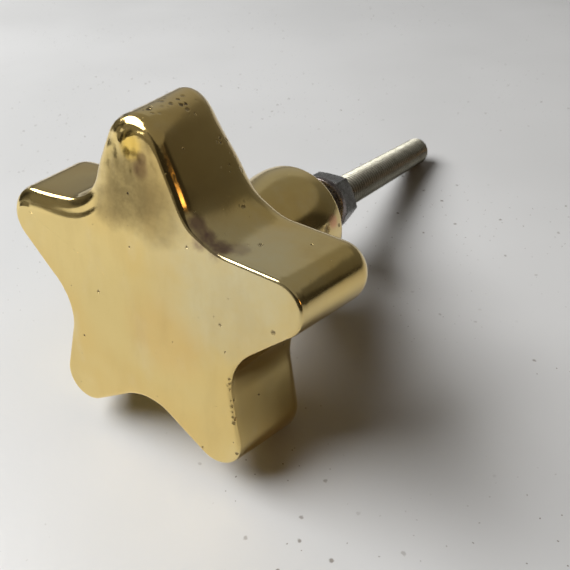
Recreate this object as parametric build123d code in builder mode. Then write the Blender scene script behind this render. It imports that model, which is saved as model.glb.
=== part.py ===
"""Star-shaped brass furniture knob on a threaded stud, with a lock washer and a hex nut.

Frame: the knob as it sits on an upright drawer front. +Z is up, the star faces -Y and
the stud runs back along +Y. The origin is the centre of the neck's flat seat, the face
that bears on the drawer front. Lengths are in millimetres.
"""

from build123d import *
from math import cos, radians, sin, tan
import os

# Star head: a cast star with rounded tips and valleys, wider at its back than its face
star_points = 5
tip_corner_radius = 24.07        # centre to a tip's corner before it is rounded
valley_corner_radius = 10.85     # centre to a valley's corner before it is rounded
tip_round = 3.1
valley_round = 6.1
star_thickness = 12.5
back_growth = 1.08               # back outline over front outline, from the casting draft
front_edge_round = 0.5
back_edge_round = 2.8
recess_depth = 4.5               # blind recess in the star's back, for the neck's spigot

# Neck: a turned post that flares towards its seat
neck_length = 18.0
waist_radius = 5.2
flare_radius = 8.0
flare_land = 1.6                 # cylindrical band at the widest end
seat_edge_round = 1.1
waist_length = 3.0               # straight stretch behind the star
spigot_radius = 4.0
spigot_length = 4.0
socket_depth = 12.0              # threaded socket in the seat, for the stud

# Stud: M5, drawn as its major-diameter cylinder
thread_diameter = 5.0
stud_proud = 48.9                # seat to free end
stud_screwed_in = 11.5
stud_chamfer = 0.6

# Lock washer and hex nut, M5, part of the way along the stud
thread_clearance = 0.04          # radial gap between the nut's thread crest and the stud
washer_clearance = 0.1
washer_radius = 4.6
washer_thickness = 1.2
washer_edge_round = 0.2
washer_split = 0.7               # slanted cut that makes the washer springy
washer_split_angle = 25
nut_sides = 6
nut_across_flats = 8.0
nut_thickness = 4.0
nut_chamfer_angle = 30
nut_face_radius = 3.8            # flat ring left on each end of the nut
washer_to_nut_gap = 0.02
washer_front = 6.5               # seat to the washer's near face

stud_radius = thread_diameter / 2
star_back = -neck_length
star_front = star_back - star_thickness
nut_front = washer_front + washer_thickness + washer_to_nut_gap
nut_back = nut_front + nut_thickness
nut_corner_radius = nut_across_flats / 2 / cos(radians(180 / nut_sides))
chamfer_length = (nut_corner_radius - nut_face_radius) * tan(radians(nut_chamfer_angle))

os.makedirs("parts", exist_ok=True)


def across(y):
    """Plane square to the stud at this y, with its own y along +Z and its normal along +Y."""
    return Plane(origin=(0, y, 0), x_dir=(-1, 0, 0), z_dir=(0, 1, 0))


def star_corners(growth):
    """The star's corners, tip and valley by turns, starting from the top tip."""
    step = 180 / star_points
    corners = []
    for index in range(2 * star_points):
        radius = growth * (valley_corner_radius if index % 2 else tip_corner_radius)
        angle = radians(90 + index * step)
        corners.append((radius * cos(angle), radius * sin(angle)))
    return corners


def star_outline(growth):
    """Flat star with rounded tips and valleys, grown from the front outline by a factor."""
    with BuildSketch() as outline:
        with BuildLine():
            Polyline(*star_corners(growth), close=True)
        make_face()
        valleys = outline.vertices().sort_by_distance((0, 0))[:star_points]
        fillet(valleys, growth * valley_round)
        tips = outline.vertices().sort_by_distance((0, 0))[-star_points:]
        fillet(tips, growth * tip_round)
    return outline.sketch


front_outline = star_outline(1)
back_outline = star_outline(back_growth)

# Star head
with BuildPart() as star_head:
    with BuildSketch(across(star_front)):
        add(front_outline)
    with BuildSketch(across(star_back - back_edge_round)):
        add(back_outline)
    loft(ruled=True)
    with BuildSketch(across(star_back - back_edge_round)):
        add(back_outline)
    extrude(amount=back_edge_round)
    fillet(star_head.edges().group_by(Axis.Y)[-1], back_edge_round)
    fillet(star_head.edges().group_by(Axis.Y)[0], front_edge_round)
    with BuildSketch(across(star_back)):
        Circle(spigot_radius)
    extrude(amount=-recess_depth, mode=Mode.SUBTRACT)

star_head.part.label = "star_head"
export_step(star_head.part, "parts/star_head.step")

# Neck
with BuildPart() as neck:
    with BuildSketch(Plane.YZ):
        with BuildLine():
            Line((star_back - spigot_length, 0), (star_back - spigot_length, spigot_radius))
            Line((star_back - spigot_length, spigot_radius), (star_back, spigot_radius))
            Line((star_back, spigot_radius), (star_back, waist_radius))
            Line((star_back, waist_radius), (star_back + waist_length, waist_radius))
            Spline(
                (star_back + waist_length, waist_radius),
                (-flare_land, flare_radius),
                tangents=((1, 0), (1, 0)),
            )
            Line((-flare_land, flare_radius), (0, flare_radius))
            Line((0, flare_radius), (0, 0))
            Line((0, 0), (star_back - spigot_length, 0))
        make_face()
    revolve(axis=Axis.Y)
    fillet(neck.edges().group_by(Axis.Y)[-1], seat_edge_round)
    with BuildSketch(across(0)):
        Circle(stud_radius)
    extrude(amount=-socket_depth, mode=Mode.SUBTRACT)

neck.part.label = "neck"
export_step(neck.part, "parts/neck.step")

# Threaded stud
with BuildPart() as threaded_stud:
    with BuildSketch(across(-stud_screwed_in)):
        Circle(stud_radius)
    extrude(amount=stud_screwed_in + stud_proud)
    chamfer(threaded_stud.edges(), stud_chamfer)

threaded_stud.part.label = "threaded_stud"
export_step(threaded_stud.part, "parts/threaded_stud.step")

# Lock washer
with BuildPart() as lock_washer:
    with BuildSketch(across(washer_front)):
        Circle(washer_radius)
        Circle(stud_radius + washer_clearance, mode=Mode.SUBTRACT)
    extrude(amount=washer_thickness)
    outer_edges = lock_washer.edges().filter_by(GeomType.CIRCLE).sort_by(SortBy.RADIUS)[-2:]
    fillet(outer_edges, washer_edge_round)
    washer_middle = washer_front + washer_thickness / 2
    with BuildSketch(Plane(origin=(0, washer_middle, 0), z_dir=(0, 0, -1))):
        Rectangle(washer_split, 3 * washer_thickness, rotation=washer_split_angle)
    extrude(amount=2 * washer_radius, mode=Mode.SUBTRACT)

lock_washer.part.label = "lock_washer"
export_step(lock_washer.part, "parts/lock_washer.step")

# Hex nut
with BuildPart() as hex_nut:
    with BuildSketch(across(nut_front)):
        RegularPolygon(radius=nut_corner_radius, side_count=nut_sides)
        Circle(stud_radius + thread_clearance, mode=Mode.SUBTRACT)
    extrude(amount=nut_thickness)
    with BuildSketch(Plane.YZ):
        with BuildLine():
            Polyline(
                (nut_front, 0),
                (nut_front, nut_face_radius),
                (nut_front + chamfer_length, nut_corner_radius),
                (nut_back - chamfer_length, nut_corner_radius),
                (nut_back, nut_face_radius),
                (nut_back, 0),
                close=True,
            )
        make_face()
    revolve(axis=Axis.Y, mode=Mode.INTERSECT)

hex_nut.part.label = "hex_nut"
export_step(hex_nut.part, "parts/hex_nut.step")
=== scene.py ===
import math

import bmesh
import bpy
import numpy as np
from mathutils import Matrix, Vector, noise


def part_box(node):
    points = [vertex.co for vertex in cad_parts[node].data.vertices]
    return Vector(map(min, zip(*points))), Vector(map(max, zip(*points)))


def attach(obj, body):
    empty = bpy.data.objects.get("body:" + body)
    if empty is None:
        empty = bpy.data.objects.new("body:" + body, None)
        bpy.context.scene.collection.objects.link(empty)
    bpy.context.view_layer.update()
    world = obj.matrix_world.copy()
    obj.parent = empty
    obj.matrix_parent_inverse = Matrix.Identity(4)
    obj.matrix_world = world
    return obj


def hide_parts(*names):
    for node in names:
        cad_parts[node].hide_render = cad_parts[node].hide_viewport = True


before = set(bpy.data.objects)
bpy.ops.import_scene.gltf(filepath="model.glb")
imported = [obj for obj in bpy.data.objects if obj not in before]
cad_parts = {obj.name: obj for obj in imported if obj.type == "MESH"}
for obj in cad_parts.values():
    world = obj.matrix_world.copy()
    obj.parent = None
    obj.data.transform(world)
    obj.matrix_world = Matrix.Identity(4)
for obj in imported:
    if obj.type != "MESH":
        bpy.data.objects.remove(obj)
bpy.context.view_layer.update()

# Lengths below are in millimetres. They become metres where a mesh, light or camera is made.
MM = 0.001


def box_mm(node):
    """Low and high corner of a CAD node's box, in mm."""
    return [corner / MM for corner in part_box(node)]


star_low, star_high = box_mm("star_head")
neck_high = box_mm("neck")[1]
stud_high = box_mm("threaded_stud")[1]
washer_low, washer_high = box_mm("lock_washer")
nut_low, nut_high = box_mm("hex_nut")

# Star outline on the front face: corners before rounding, and the radii that round them
TIPS = 5
TIP_CORNER = 24.07
VALLEY_CORNER = 10.85
TIP_ROUND = 3.1
VALLEY_ROUND = 6.1
BACK_GROWTH = 1.08


# ---------------------------------------------------------------- mesh helpers

def skin(name, rings, closed=False, start_pole=False, end_pole=False):
    """Mesh through rings of points, each closed on itself.

    closed joins the last ring to the first; a pole closes an end ring with a fan.
    """
    rings = np.asarray(rings, float)
    ring_count, around = rings.shape[:2]
    points = [tuple(point) for point in rings.reshape(-1, 3) * MM]
    faces = []
    for ring in range(ring_count if closed else ring_count - 1):
        here = ring * around
        there = (ring + 1) % ring_count * around
        for i in range(around):
            j = (i + 1) % around
            faces.append((here + i, here + j, there + j, there + i))
    for wanted, base in ((start_pole, 0), (end_pole, (ring_count - 1) * around)):
        if wanted:
            centre = rings[base // around].mean(axis=0) * MM
            points.append(tuple(centre))
            pole = len(points) - 1
            faces.extend((base + i, base + (i + 1) % around, pole) for i in range(around))
    mesh = bpy.data.meshes.new(name)
    mesh.from_pydata(points, [], faces)
    cleaned = bmesh.new()
    cleaned.from_mesh(mesh)
    bmesh.ops.remove_doubles(cleaned, verts=cleaned.verts, dist=1e-8)
    bmesh.ops.recalc_face_normals(cleaned, faces=cleaned.faces)
    cleaned.to_mesh(mesh)
    cleaned.free()
    mesh.polygons.foreach_set("use_smooth", [True] * len(mesh.polygons))
    piece = bpy.data.objects.new(name, mesh)
    bpy.context.scene.collection.objects.link(piece)
    return piece


def around_y(turn, radius, y):
    """Ring about the Y axis at the given turns; radius and y are one number or one per turn."""
    return np.column_stack([
        radius * np.cos(turn), np.broadcast_to(y, turn.shape), radius * np.sin(turn)
    ])


def full_turn(count):
    """Evenly spaced angles around a circle."""
    return np.linspace(0, 2 * math.pi, count, endpoint=False)


def stand_in(piece, node, body, material):
    """Piece rides on a body in place of a CAD node, with its own finish."""
    piece.data.materials.append(material)
    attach(piece, body)
    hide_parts(node)


def smoothstep(low, high, value):
    """0 below low and 1 above high, with an S-shaped rise between them."""
    t = np.clip((value - low) / (high - low), 0, 1)
    return t * t * (3 - 2 * t)


def ripple(points, wavelength, seed):
    """Smooth noise from -1 to 1 at each point."""
    offset = Vector((seed, 0.37 * seed, -0.61 * seed))
    return np.array([noise.noise(Vector(p) / wavelength + offset) for p in points])


# ---------------------------------------------------------------- star head

def rounded_star(step):
    """Points around the front outline, spaced by about a step, with its arcs true."""
    corners = []
    for index in range(2 * TIPS):
        radius = VALLEY_CORNER if index % 2 else TIP_CORNER
        angle = math.radians(90 + 180 / TIPS * index)
        corners.append(np.array([radius * math.cos(angle), radius * math.sin(angle)]))
    outline = []
    for index, corner in enumerate(corners):
        before, after = corners[index - 1], corners[(index + 1) % len(corners)]
        radius = VALLEY_ROUND if index % 2 else TIP_ROUND
        to_before = (before - corner) / np.linalg.norm(before - corner)
        to_after = (after - corner) / np.linalg.norm(after - corner)
        half = math.acos(np.clip(to_before @ to_after, -1, 1)) / 2
        bisector = (to_before + to_after) / np.linalg.norm(to_before + to_after)
        centre = corner + bisector * radius / math.sin(half)
        start = corner + to_before * radius / math.tan(half) - centre
        sweep = math.pi - 2 * half
        turn = 1 if index % 2 == 0 else -1
        count = max(4, int(radius * sweep / step))
        for k in range(count + 1):
            angle = turn * sweep * k / count
            cos, sin = math.cos(angle), math.sin(angle)
            outline.append(centre + np.array([[cos, -sin], [sin, cos]]) @ start)
    outline = np.array(outline)
    filled = []
    for index, here in enumerate(outline):
        there = outline[(index + 1) % len(outline)]
        count = max(1, int(np.linalg.norm(there - here) / step))
        filled.extend(here + (there - here) * k / count for k in range(count))
    return np.array(filled)


def facet_roll(steps):
    """Roll that ends in a narrow flat facet: shares of its inset and its depth, step by step."""
    facet_lean, roll_radius, facet_length = math.radians(23), 0.75, 0.32
    curved = steps * 3 // 5
    flat = steps - 1 - curved
    lean = np.concatenate([
        np.linspace(math.pi / 2, facet_lean, curved), np.full(flat, facet_lean)
    ])
    length = np.concatenate([
        np.full(curved, roll_radius * (math.pi / 2 - facet_lean) / curved),
        np.full(flat, facet_length / flat),
    ])
    outward = np.concatenate([[0], np.cumsum(np.sin(lean) * length)])
    backward = np.concatenate([[0], np.cumsum(np.cos(lean) * length)])
    return 1 - outward / outward[-1], backward / backward[-1]


def star_head():
    """Cast star: flat face with unevenly worn edges, drafted sides and a rounded back edge."""
    outline = rounded_star(0.3)
    ahead = np.roll(outline, -1, axis=0) - np.roll(outline, 1, axis=0)
    outward = np.stack([ahead[:, 1], -ahead[:, 0]], axis=1)
    outward /= np.linalg.norm(outward, axis=1)[:, None]
    bearing = np.degrees(np.arctan2(outline[:, 1], outline[:, 0])) % 360
    front, back = star_low.y, star_high.y

    # The polisher rolled back the edge that runs over the top and left tips, and left the rest
    # crisp.
    worn = smoothstep(50, 62, bearing) * (1 - smoothstep(154, 168, bearing))
    wide = worn * smoothstep(78, 95, bearing)
    faceted = worn - wide
    roll_width = 0.4 + 0.4 * worn + 1.9 * wide
    roll_depth = 0.35 + 0.4 * worn + 0.1 * wide
    back_round = 2.7 + 0.5 * worn

    def ring(edge, y):
        return np.column_stack([edge[:, 0], np.broadcast_to(y, len(edge)), edge[:, 1]])

    # Flat face, from near its centre out to the roll
    face_rings = 42
    face_edge = outline - outward * roll_width[:, None]
    rings = [
        ring(face_edge * share, front)
        for share in 1 - np.linspace(1, 0, face_rings + 2)[1:-1] ** 1.5
    ]

    # Rolled edge. Shallow creases from the buffing wheel come and go along its wide part.
    roll_steps, crease_depth, crease_waves, crease_patches = 25, 0.05, 4.2, 9
    inset_share, depth_share = facet_roll(roll_steps)
    creased = wide * (0.55 + 0.45 * np.sin(np.radians(bearing * crease_patches)))
    for step, angle in enumerate(np.radians(np.linspace(0, 90, roll_steps))):
        across = math.sin(angle)
        inset = roll_width * ((1 - faceted) * (1 - across) + faceted * inset_share[step])
        drop = roll_depth * ((1 - faceted) * (1 - math.cos(angle)) + faceted * depth_share[step])
        crease = math.sin(math.pi * across) * math.cos(crease_waves * math.pi * across)
        y = front + drop + crease_depth * crease * creased
        rings.append(ring(outline - outward * inset[:, None], y))

    # Sides, which grow towards the back
    side_rings = 24
    side_front, side_back = front + roll_depth, back - back_round
    for share in np.linspace(0, 1, side_rings + 2)[1:-1]:
        y = side_front + (side_back - side_front) * share
        growth = 1 + (BACK_GROWTH - 1) * (y - front) / (side_back - front)
        rings.append(ring(outline * growth[:, None], y))

    # Rounded back edge, then the flat back in towards its centre
    for angle in np.radians(np.linspace(0, 90, 12)):
        inset = back_round * (1 - math.cos(angle))
        edge = outline * BACK_GROWTH - outward * inset[:, None]
        rings.append(ring(edge, back - back_round * (1 - math.sin(angle))))
    last = rings[-1]
    rings += [last * (share, 1, share) for share in np.linspace(1, 0.06, 22)[1:]]

    rings = uneven_casting(np.array(rings), front, back)
    return skin("star_head_cast", rings, start_pole=True, end_pole=True)


def uneven_casting(rings, front, back):
    """The star's rings, leaned, filed and slightly waved as on the hand-finished casting."""
    points = rings.reshape(-1, 3)
    depth = np.clip((points[:, 1] - front) / (back - front), 0, 1)
    across, height = points[:, 0].copy(), points[:, 2].copy()

    # Each lean moves the metal near a spot (x, z), fading out over its reach, by a shift
    # (x, z). The top tip leans over, the left tip rises, and the top tip's back edge is filed.
    everywhere, at_the_back = 1, depth ** 1.5
    for spot, reach, shift, weight in (
        ((-2.0, 21.0), 5.0, (-0.9, 0.0), everywhere),
        ((-5.0, 14.0), 4.0, (-1.1, 0.1), everywhere),
        ((-8.0, 9.0), 3.5, (-0.4, 0.4), everywhere),
        ((-19.0, 7.5), 5.0, (-0.5, 0.8), everywhere),
        ((5.5, 21.5), 4.5, (-3.0, -0.7), at_the_back),
    ):
        gap = (across - spot[0]) ** 2 + (height - spot[1]) ** 2
        near = weight * np.exp(-gap / (2 * reach ** 2))
        points[:, 0] += shift[0] * near
        points[:, 2] += shift[1] * near

    # Hand polishing leaves long low waves, and small dings on the face near the worn tip.
    wave = 0.05 * ripple(points, wavelength=7.0, seed=3.1)
    wave += 0.02 * ripple(points, wavelength=2.6, seed=8.4)
    ding_spot, ding_reach, ding_stretch = (-2.0, 16.5), 4.0, np.array([1.6, 1, 0.7])
    gap = (points[:, 0] - ding_spot[0]) ** 2 + (points[:, 2] - ding_spot[1]) ** 2
    dinged = np.exp(-gap / ding_reach ** 2) * (1 - depth) ** 4
    wave += 0.09 * dinged * ripple(points * ding_stretch, wavelength=0.9, seed=5.2)

    # The waves stand out mostly along Y on the flat faces and outward on the sides.
    centre = np.array([0, (front + back) / 2, 0])
    away = (points - centre) * np.array([0.3, 1.6, 0.3])
    away /= np.maximum(np.linalg.norm(away, axis=1), 1e-6)[:, None]
    return (points + away * wave[:, None]).reshape(rings.shape)


# ---------------------------------------------------------------- neck, stud, washer, nut

def neck():
    """Turned neck: straight waist, flare, narrow land, rounded seat edge and socket mouth."""
    waist, flare, seat_round, land = 5.2, neck_high.x, 1.1, 1.6
    inside_star, mouth_depth, mouth_gap, socket_depth = 0.3, 0.35, 0.35, 2.0
    socket = stud_high.x + 0.02
    back_of_star = star_high.y
    flare_start = back_of_star + 3.0
    profile = [(back_of_star - inside_star, waist)]
    profile += [(y, waist) for y in np.linspace(back_of_star, flare_start, 8)]
    for share in np.linspace(0, 1, 46)[1:]:
        y = flare_start + (-land - flare_start) * share
        profile.append((y, waist + (flare - waist) * smoothstep(0, 1, share)))
    for angle in np.radians(np.linspace(0, 90, 14)):
        y = -seat_round * (1 - math.sin(angle))
        profile.append((y, flare - seat_round * (1 - math.cos(angle))))
    seat_radii = np.linspace(flare - seat_round, stud_high.x + mouth_gap, 10)
    profile += [(0, radius) for radius in seat_radii[1:]]
    profile += [(-mouth_depth, socket), (-socket_depth, socket)]
    turn = full_turn(160)
    return skin("neck_turned", [around_y(turn, radius, y) for y, radius in profile])


def thread_form(phase):
    """1 at the thread's crest and 0 at its root, over one turn of the helix."""
    return np.interp(phase % 1.0, [0, 0.09, 0.38, 0.60, 0.91, 1], [1, 1, 0, 0, 1, 1])


def threaded_stud():
    """M5 stud: a right-hand helix cut into the rod, with a chamfered end."""
    major, pitch, depth, chamfer = stud_high.x, 0.8, 0.46, 0.6
    rings_per_pitch, end_bevel = 12, 0.03
    turn = full_turn(60)
    first, last = -1.5, stud_high.y
    rings = []
    for y in np.arange(first, last, pitch / rings_per_pitch):
        radius = major - depth * (1 - thread_form(y / pitch - turn / (2 * math.pi)))
        rings.append(around_y(turn, np.minimum(radius, major - chamfer + (last - y)), y))
    end = major - chamfer
    for share, y in ((1.0, last - end_bevel), (0.96, last), (0.5, last)):
        rings.append(around_y(turn, end * share, y))
    return skin("stud_thread", rings, start_pole=True, end_pole=True)


def lock_washer():
    """Split spring washer: a square-section ring with a slanted cut."""
    corner, half_cut, cut_slant, spring = 0.22, 0.35, math.radians(25), 0.06
    middle = (washer_low.y + washer_high.y) / 2
    half_thick = (washer_high.y - washer_low.y) / 2
    outer, inner = washer_high.x, stud_high.x + 0.1
    section = []
    for along, out, base in ((1, 1, 0), (-1, 1, 90), (-1, -1, 180), (1, -1, 270)):
        for angle in np.radians(np.linspace(base, base + 90, 5)):
            y = along * (half_thick - corner) + corner * math.cos(angle)
            radius = (outer + inner) / 2 + out * ((outer - inner) / 2 - corner)
            section.append((y, radius + corner * math.sin(angle)))
    y, radius = np.array(section).T
    cut = half_cut / outer
    slant = math.tan(cut_slant) / outer
    rings = []
    for share in np.linspace(0, 1, 120):
        turn = -math.pi / 2 + cut + (2 * math.pi - 2 * cut) * share - slant * y
        rings.append(around_y(turn, radius, middle + y + spring * (share - 0.5)))
    return skin("washer_split", rings, start_pole=True, end_pole=True)


def hex_nut():
    """Hex nut: soft-cornered flats, a turned chamfer at both ends and a plain bore."""
    front, back = nut_low.y, nut_high.y
    half_flats, corner_radius = nut_high.z, nut_high.x
    face_radius, face_bevel, chamfer_zone = 3.75, 0.1, 0.7
    chamfer_slope = math.tan(math.radians(30))
    bore, bore_chamfer = stud_high.x + 0.03, 0.4
    edge_sharpness, hard_edge = 120, math.radians(24)

    # A high power of the six flats' directions draws a hexagon with slightly soft corners.
    turn = full_turn(240)
    flat_directions = np.radians(30 + 60 * np.arange(6))
    facing = np.maximum(np.cos(turn[:, None] - flat_directions[None, :]), 0)
    hexagon = half_flats / (facing ** edge_sharpness).sum(axis=1) ** (1 / edge_sharpness)
    hexagon = np.minimum(hexagon, corner_radius)

    end_radii = (bore + bore_chamfer, (bore + face_radius) / 2, face_radius - face_bevel)
    rings = [around_y(turn, radius, front) for radius in end_radii]
    for y in np.concatenate([
        np.linspace(front, front + chamfer_zone, 16), np.linspace(back - chamfer_zone, back, 16)
    ]):
        cone = face_radius + min(y - front, back - y) / chamfer_slope
        rings.append(around_y(turn, np.minimum(hexagon, cone), y))
    rings += [around_y(turn, radius, back) for radius in reversed(end_radii)]
    rings += [around_y(turn, bore, y) for y in (back - bore_chamfer, front + bore_chamfer)]
    piece = skin("nut_hex", rings, closed=True)
    piece.data.set_sharp_from_angle(angle=hard_edge)
    return piece


# ---------------------------------------------------------------- node helpers

class Graph:
    """Short calls that build the node tree of a material or a world."""

    def __init__(self, owner):
        owner.use_nodes = True
        self.tree = owner.node_tree

    def node(self, kind, **settings):
        made = self.tree.nodes.new(kind)
        for key, value in settings.items():
            setattr(made, key, value)
        return made

    def feed(self, socket, value):
        """Link a socket to another, or set its value."""
        if isinstance(value, bpy.types.NodeSocket):
            self.tree.links.new(value, socket)
        else:
            socket.default_value = value

    def math(self, operation, *values):
        made = self.node("ShaderNodeMath", operation=operation)
        for socket, value in zip(made.inputs, values):
            self.feed(socket, value)
        return made.outputs[0]

    def vectors(self, operation, *values, output="Vector"):
        """Vector math; an operation that gives one number has its output under "Value"."""
        made = self.node("ShaderNodeVectorMath", operation=operation)
        for socket, value in zip(made.inputs, values):
            self.feed(socket, value)
        return made.outputs[output]

    def ramp(self, value, low, high, to_low=0.0, to_high=1.0):
        """Smooth change from to_low to to_high as the value goes from low to high."""
        made = self.node("ShaderNodeMapRange", interpolation_type="SMOOTHSTEP")
        self.feed(made.inputs["Value"], value)
        for key, number in (
            ("From Min", low), ("From Max", high), ("To Min", to_low), ("To Max", to_high)
        ):
            made.inputs[key].default_value = number
        return made.outputs[0]

    def mix(self, factor, a, b):
        """Colour a where the factor is 0 and b where it is 1."""
        made = self.node("ShaderNodeMix", data_type="RGBA")
        self.feed(made.inputs["Factor"], factor)
        for socket, colour in ((made.inputs["A"], a), (made.inputs["B"], b)):
            linked = isinstance(colour, bpy.types.NodeSocket)
            self.feed(socket, colour if linked else (*colour, 1.0))
        return made.outputs["Result"]


class Finish(Graph):
    """Material whose textures are placed and sized in millimetres."""

    def __init__(self, name):
        self.material = bpy.data.materials.new(name)
        super().__init__(self.material)
        self.shader = self.tree.nodes["Principled BSDF"]
        place = self.node("ShaderNodeVectorMath", operation="SCALE")
        self.feed(place.inputs[0], self.node("ShaderNodeTexCoord").outputs["Object"])
        place.inputs["Scale"].default_value = 1 / MM
        self.position = place.outputs[0]

    def stretch(self, along, turn=(0, 0, 0)):
        """Position in mm, turned and scaled differently along each axis."""
        made = self.node("ShaderNodeMapping")
        self.feed(made.inputs["Vector"], self.position)
        made.inputs["Rotation"].default_value = turn
        made.inputs["Scale"].default_value = along
        return made.outputs[0]

    def noise(self, size, detail=3.0, roughness=0.5, vector=None):
        """Noise whose features are about size mm across."""
        made = self.node("ShaderNodeTexNoise")
        self.feed(made.inputs["Vector"], vector or self.position)
        made.inputs["Scale"].default_value = 1 / size
        made.inputs["Detail"].default_value = detail
        made.inputs["Roughness"].default_value = roughness
        return made.outputs["Fac"]

    def pits(self, spacing, radius, share, flat=False):
        """1 inside small ragged pits, one per cell of spacing mm in a share of the cells."""
        warp_scale, warp_shift, core = 1.5, (0.5, 0.5, 0.5), 0.4
        warp = self.node("ShaderNodeTexNoise")
        self.feed(warp.inputs["Vector"], self.position)
        warp.inputs["Scale"].default_value = warp_scale
        bent = self.vectors("MULTIPLY_ADD", warp.outputs["Color"], warp_shift, self.position)
        cells = self.node(
            "ShaderNodeTexVoronoi", feature="F1", voronoi_dimensions="2D" if flat else "3D"
        )
        self.feed(cells.inputs["Vector"], bent)
        cells.inputs["Scale"].default_value = 1 / spacing
        rim = radius / spacing
        near = self.ramp(cells.outputs["Distance"], core * rim, rim, 1.0, 0.0)
        draw = self.node("ShaderNodeSeparateColor")
        self.feed(draw.inputs[0], cells.outputs["Color"])
        return self.math("MULTIPLY", near, self.math("LESS_THAN", draw.outputs[0], share))

    def spot(self, centre, size, raggedness=0.6):
        """1 near a point, fading out by size mm, with a ragged edge."""
        core, grain, ragged = 0.35 * size, 0.5 * size, raggedness * size
        gap = self.vectors("DISTANCE", self.position, centre, output="Value")
        uneven = self.math("MULTIPLY_ADD", self.noise(grain, 4.0, 0.6), ragged, -0.5 * ragged)
        return self.ramp(self.math("ADD", gap, uneven), core, size, 1.0, 0.0)

    def largest(self, values):
        total = values[0]
        for value in values[1:]:
            total = self.math("MAXIMUM", total, value)
        return total

    def bump(self, height, depth, before=None):
        """Bump from a 0 to 1 height that stands depth mm proud."""
        made = self.node("ShaderNodeBump")
        made.inputs["Strength"].default_value = 1.0
        made.inputs["Distance"].default_value = depth * MM
        self.feed(made.inputs["Height"], height)
        if before is not None:
            self.feed(made.inputs["Normal"], before)
        return made.outputs[0]

    def finish(self, colour, roughness, normal, metallic=1.0):
        self.feed(self.shader.inputs["Base Color"], colour)
        self.feed(self.shader.inputs["Roughness"], roughness)
        self.feed(self.shader.inputs["Metallic"], metallic)
        self.feed(self.shader.inputs["Normal"], normal)
        return self.material


# ---------------------------------------------------------------- materials

STRAW = (0.80, 0.62, 0.26)
GOLD = (0.79, 0.58, 0.22)
PALE = (0.82, 0.70, 0.42)
ORANGE = (0.80, 0.50, 0.17)
GREY_GREEN = (0.76, 0.71, 0.47)
TAN = (0.56, 0.38, 0.14)
UMBER = (0.235, 0.172, 0.07)
BROWN = (0.13, 0.07, 0.04)
PLUM = (0.24, 0.15, 0.12)
COPPER = (0.80, 0.40, 0.24)
# Painted glint: a gold patch where a dent on the top tip catches the window
PAINTED_GLINT_GOLD = (0.98, 0.66, 0.14)
PIT = (0.045, 0.028, 0.018)
GRIME = (0.07, 0.055, 0.04)
TABLE_DULL = (0.645, 0.648, 0.638)
TABLE_CLEAN = (0.70, 0.703, 0.694)
TABLE_SPECK = (0.20, 0.17, 0.14)
BACKDROP = (0.52, 0.52, 0.51)


def brass(name, stains_and_glints=(), marks=(), pitted=(), pit_share=0.12):
    """Polished cast brass: mottled colour, smudges, fine scratches, stains and pits.

    A stain or a painted glint is (centre, size, colour, strength); a mark or a pitted patch is
    (centre, size).
    """
    g = Finish(name)
    colour = g.mix(g.ramp(g.noise(12.0), 0.40, 0.66), STRAW, GOLD)
    streaks = g.noise(6.0, 5.0, 0.6, g.stretch((1, 1, 0.6)))
    colour = g.mix(g.ramp(streaks, 0.5, 0.75, 0.0, 0.45), colour, PALE)
    broken = g.ramp(g.noise(1.3, 4.0, 0.7), 0.34, 0.62, 0.8, 1.0)
    # Each entry lays a colour patch: real stains, and painted glints
    for centre, size, tint, strength in stains_and_glints:
        colour_patch = g.math("MULTIPLY", g.math("MULTIPLY", g.spot(centre, size), strength), broken)
        colour = g.mix(colour_patch, colour, tint)

    pits = [g.pits(1.5, 0.16, pit_share), g.pits(0.8, 0.07, pit_share)]
    pits += [g.math("MULTIPLY", g.spot(centre, size, 1.0), 0.7) for centre, size in marks]
    if pitted:
        patch = g.largest([g.spot(centre, size, 0.8) for centre, size in pitted])
        pits.append(g.math("MULTIPLY", patch, g.pits(0.75, 0.34, 0.75)))
    pits = g.largest(pits)
    colour = g.mix(g.math("MULTIPLY", pits, 0.92), colour, PIT)
    smudges = g.ramp(g.noise(5.0, 4.0, 0.6, g.stretch((1.4, 1, 0.5))), 0.45, 0.7)
    colour = g.mix(g.math("MULTIPLY", smudges, 0.16), colour, TAN)

    scratches = g.noise(1.0, 4.0, 0.7, g.stretch((0.25, 6.0, 4.0), (0.3, 0.5, 0.2)))
    roughness = g.ramp(scratches, 0.3, 0.75, 0.08, 0.16)
    roughness = g.math("ADD", roughness, g.math("MULTIPLY", smudges, 0.08))
    roughness = g.math("ADD", roughness, g.math("MULTIPLY", pits, 0.4))
    normal = g.bump(scratches, 0.003)
    normal = g.bump(g.noise(2.4), 0.02, normal)
    normal = g.bump(g.math("SUBTRACT", 1.0, pits), 0.08, normal)
    return g.finish(colour, roughness, normal)


def steel(name, light, dark, rough, groove=None):
    """Dull zinc-plated steel with a mottled film.

    A groove is two radii about the Y axis: its dirt is thick at the first and gone at the second.
    """
    g = Finish(name)
    colour = g.mix(g.ramp(g.noise(1.6, 5.0, 0.6), 0.35, 0.7), light, dark)
    grime = g.ramp(g.noise(0.7, 4.0, 0.7), 0.60, 0.8, 0.0, 0.5)
    fine = g.noise(0.35, roughness=0.6)
    roughness = g.ramp(fine, 0.3, 0.75, rough, rough + 0.14)
    if groove:
        from_axis = g.vectors("MULTIPLY", g.position, (1, 0, 1))
        radius = g.vectors("LENGTH", from_axis, output="Value")
        dirt = g.ramp(radius, *groove, 0.92, 0.0)
        grime = g.math("MAXIMUM", grime, dirt)
        roughness = g.math("ADD", roughness, g.math("MULTIPLY", dirt, 0.3))
    return g.finish(g.mix(grime, colour, GRIME), roughness, g.bump(fine, 0.01))


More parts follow.
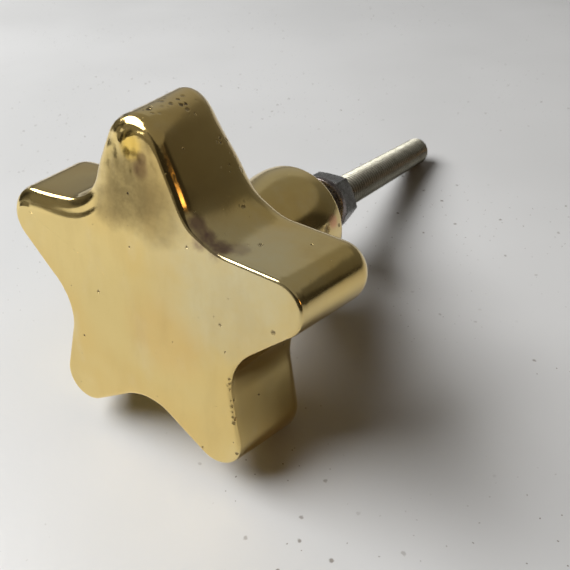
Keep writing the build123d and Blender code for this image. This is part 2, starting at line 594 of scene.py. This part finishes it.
def table_paint():
    """Pale painted table top with faint clouds and scattered specks of dirt."""
    fade_start, fade_end = 260, 620
    g = Finish("stage_table")
    colour = g.mix(g.ramp(g.noise(60.0), 0.3, 0.7), TABLE_DULL, TABLE_CLEAN)
    dirty = g.ramp(g.noise(35.0, detail=2.0), 0.42, 0.62)
    specks = g.math("MAXIMUM", g.pits(5.0, 0.30, 0.3, True), g.pits(1.8, 0.12, 0.25, True))
    colour = g.mix(g.math("MULTIPLY", specks, dirty), colour, TABLE_SPECK)
    paint = g.finish(colour, 0.42, g.bump(g.noise(3.0, 4.0, 0.6), 0.03), metallic=0.0)

    # Far from the knob the camera sees the table fade into the backdrop.
    away = g.vectors("LENGTH", g.position, output="Value")
    to_camera = g.node("ShaderNodeLightPath").outputs["Is Camera Ray"]
    share = g.math("MULTIPLY", g.ramp(away, fade_start, fade_end), to_camera)
    glow = g.node("ShaderNodeEmission")
    glow.inputs["Color"].default_value = (*BACKDROP, 1.0)
    blend = g.node("ShaderNodeMixShader")
    for socket, value in zip(blend.inputs, (share, g.shader.outputs[0], glow.outputs[0])):
        g.feed(socket, value)
    g.feed(g.tree.nodes["Material Output"].inputs["Surface"], blend.outputs[0])
    return paint


# ---------------------------------------------------------------- the object

face = star_low.y
# A line of pits runs down the face beside the edge of the lower right tip.
edge_pits = tuple(
    ((10.9 + 0.09 * step, face, -4.5 - 0.65 * step), 0.20 + 0.05 * (step % 3))
    for step in range(9)
)
head_brass = brass(
    "cast_brass",
    stains_and_glints=(
        # Broad tints over the face
        ((2.7, face, -2.5), 6.5, ORANGE, 0.35),
        ((10.0, face, 6.0), 11.0, GREY_GREEN, 0.55),
        # Darker brown over the lower half of the top tip, with dark spots and a painted gold glint
        # above it
        ((-1.0, face, 12.6), 5.6, UMBER, 0.9),
        ((2.2, face, 10.4), 4.2, UMBER, 0.55),
        ((-4.2, face, 10.0), 3.0, UMBER, 0.7),
        ((0.1, face, 14.6), 1.3, BROWN, 0.8),
        ((-0.9, face, 16.6), 1.7, PAINTED_GLINT_GOLD, 0.95),
        ((0.3, face, 15.6), 0.9, BROWN, 0.8),
        # Top tip's right side, then darker plum patches along the edge of the valley below it
        ((3.9, -25.0, 15.5), 8.5, TAN, 0.5),
        ((7.0, -29.6, 9.1), 1.5, PLUM, 1.0),
        ((8.7, -29.5, 8.6), 1.5, PLUM, 0.9),
        ((6.0, -29.5, 10.4), 1.3, PLUM, 0.9),
        ((10.0, -28.4, 8.4), 1.6, PLUM, 0.45),
    ),
    marks=(
        ((-6.5, face, -0.5), 0.24),
        ((5.6, face, 8.3), 0.20),
        ((15.5, face, 2.7), 0.30),
        ((7.8, face, -14.9), 0.18),
        ((12.2, face, -13.5), 0.26),
        ((9.6, face, 1.3), 0.20),
        ((11.1, -26.4, 8.5), 0.40),
        *edge_pits,
    ),
    pitted=(
        # Edge of the lower right tip
        ((11.1, face, -4.8), 0.9),
        ((11.3, face, -6.2), 0.9),
        ((11.4, face, -7.4), 1.0),
        ((11.6, face, -8.8), 0.8),
        # End and right side of the top tip
        ((0.2, -24.5, 20.6), 3.0),
        ((-0.6, -28.0, 19.8), 1.2),
        ((3.4, -21.2, 15.8), 1.6),
        ((4.6, -21.2, 13.9), 1.4),
        ((6.6, -23.0, 10.3), 1.0),
    ),
)
neck_brass = brass(
    "turned_brass",
    stains_and_glints=(((7.4, -2.8, 2.8), 1.3, COPPER, 0.9),),
    marks=(((7.6, -4.4, 2.3), 0.8), ((7.8, -1.6, 2.0), 0.35), ((5.0, -11.5, 5.0), 0.9)),
    pit_share=0.08,
)
stud_zinc = steel(
    "stud_zinc", light=(0.33, 0.32, 0.26), dark=(0.25, 0.24, 0.19), rough=0.26, groove=(2.20, 2.47)
)
washer_zinc = steel("washer_zinc", light=(0.26, 0.225, 0.21), dark=(0.13, 0.105, 0.10), rough=0.22)
nut_zinc = steel("nut_zinc", light=(0.25, 0.25, 0.24), dark=(0.15, 0.14, 0.13), rough=0.24)

stand_in(star_head(), "star_head", "knob", head_brass)
stand_in(neck(), "neck", "knob", neck_brass)
stand_in(threaded_stud(), "threaded_stud", "knob", stud_zinc)
stand_in(lock_washer(), "lock_washer", "washer", washer_zinc)
stand_in(hex_nut(), "hex_nut", "nut", nut_zinc)


# ---------------------------------------------------------------- table, light and camera

def table():
    """Table top under the knob, which lies on its two low tips and its stud's end."""
    low_tips, tip_radius, stud_end_bevel = Vector((0, -20.8, -14.6)), 2.8, 0.3
    stud_end = Vector((0, stud_high.y - stud_end_bevel, -stud_high.x + stud_end_bevel))
    run = stud_end - low_tips
    tilt = math.atan2(run.z, run.y) + math.asin(tip_radius / run.length)

    half = 900 * MM
    corners = [(-half, -half, 0), (half, -half, 0), (half, half, 0), (-half, half, 0)]
    mesh = bpy.data.meshes.new("stage_table")
    mesh.from_pydata(corners, [], [(0, 1, 2, 3)])
    piece = bpy.data.objects.new("stage_table", mesh)
    bpy.context.scene.collection.objects.link(piece)
    piece.matrix_world = Matrix.Translation(stud_end * MM) @ Matrix.Rotation(tilt, 4, "X")
    piece.data.materials.append(table_paint())


def area_light(name, direction, distance, size, energy, colour):
    """Soft rectangular light that stands off in a direction and faces the star."""
    lamp = bpy.data.lights.new(name, "AREA")
    lamp.shape = "RECTANGLE"
    lamp.size, lamp.size_y = size[0] * MM, size[1] * MM
    lamp.energy = energy
    lamp.color = colour
    made = bpy.data.objects.new(name, lamp)
    bpy.context.scene.collection.objects.link(made)
    target = Vector((0, -20, 0))
    place = target + Vector(direction).normalized() * distance
    made.location = place * MM
    made.rotation_euler = (place - target).to_track_quat("Z", "Y").to_euler()


def room_light():
    """Dim room for the brass to reflect: brightest at the back left, darkest at the front right."""
    world = bpy.data.worlds.new("room")
    bpy.context.scene.world = world
    g = Graph(world)
    looking = g.node("ShaderNodeTexCoord").outputs["Generated"]

    def facing(direction):
        """Cosine of the angle between where a ray goes and a direction."""
        return g.vectors("DOT_PRODUCT", looking, Vector(direction).normalized(), output="Value")

    walls = g.node("ShaderNodeValToRGB")
    g.feed(walls.inputs["Fac"], facing((-0.45, 0.7, 0.55)))
    stops = walls.color_ramp.elements
    stops[0].position, stops[0].color = 0.22, (0.034, 0.030, 0.023, 1)
    stops[1].position, stops[1].color = 0.97, (0.34, 0.34, 0.34, 1)
    for position, shade in (
        (0.32, (0.09, 0.083, 0.068, 1)),
        (0.66, (0.115, 0.11, 0.095, 1)),
        (0.85, (0.16, 0.155, 0.145, 1)),
    ):
        stops.new(position).color = shade
    room = walls.outputs["Color"]

    # A lighter ceiling, and a grey wall in front, below the window
    ceiling = g.ramp(facing((0.10, -0.05, 0.99)), 0.58, 0.67)
    room = g.mix(ceiling, room, (0.235, 0.225, 0.20))
    front_wall = g.ramp(facing((-0.44, -0.88, 0.02)), 0.80, 0.93)
    room = g.mix(front_wall, room, (0.20, 0.19, 0.17))

    # Matt surfaces get a weaker room, so the shadow on the table stays deep, and the camera
    # itself sees a plain pale backdrop beyond the table.
    path = g.node("ShaderNodeLightPath")
    room = g.mix(path.outputs["Is Diffuse Ray"], room, (0.020, 0.019, 0.016))
    room = g.mix(path.outputs["Is Camera Ray"], room, BACKDROP)
    background = g.tree.nodes["Background"]
    g.feed(background.inputs["Color"], room)
    background.inputs["Strength"].default_value = 1.0


def camera():
    """Close view from the front right and above."""
    place, target = Vector((40.0, -73.4, 33.4)), Vector((9.16, -17.5, 0.1))
    roll = math.radians(4.6)
    lens = bpy.data.cameras.new("camera")
    lens.sensor_width = 36
    lens.lens = 40.4
    lens.clip_start = 2 * MM
    lens.dof.use_dof = True
    lens.dof.focus_distance = 70 * MM
    lens.dof.aperture_fstop = 110
    made = bpy.data.objects.new("camera", lens)
    bpy.context.scene.collection.objects.link(made)
    aim = (target - place).to_track_quat("-Z", "Y").to_matrix()
    aim = aim @ Matrix.Rotation(roll, 3, "Z")
    made.matrix_world = Matrix.Translation(place * MM) @ aim.to_4x4()
    bpy.context.scene.camera = made


table()
room_light()
area_light(
    "window", direction=(-0.63, -0.405, 0.665), distance=560, size=(507, 307),
    energy=4.85, colour=(0.99, 0.99, 1.0),
)
area_light(
    "warm_lamp", direction=(0.94, 0.00, 0.34), distance=420, size=(80, 80),
    energy=0.09, colour=(1.0, 0.55, 0.20),
)
camera()
bpy.context.scene.view_settings.view_transform = "Standard"
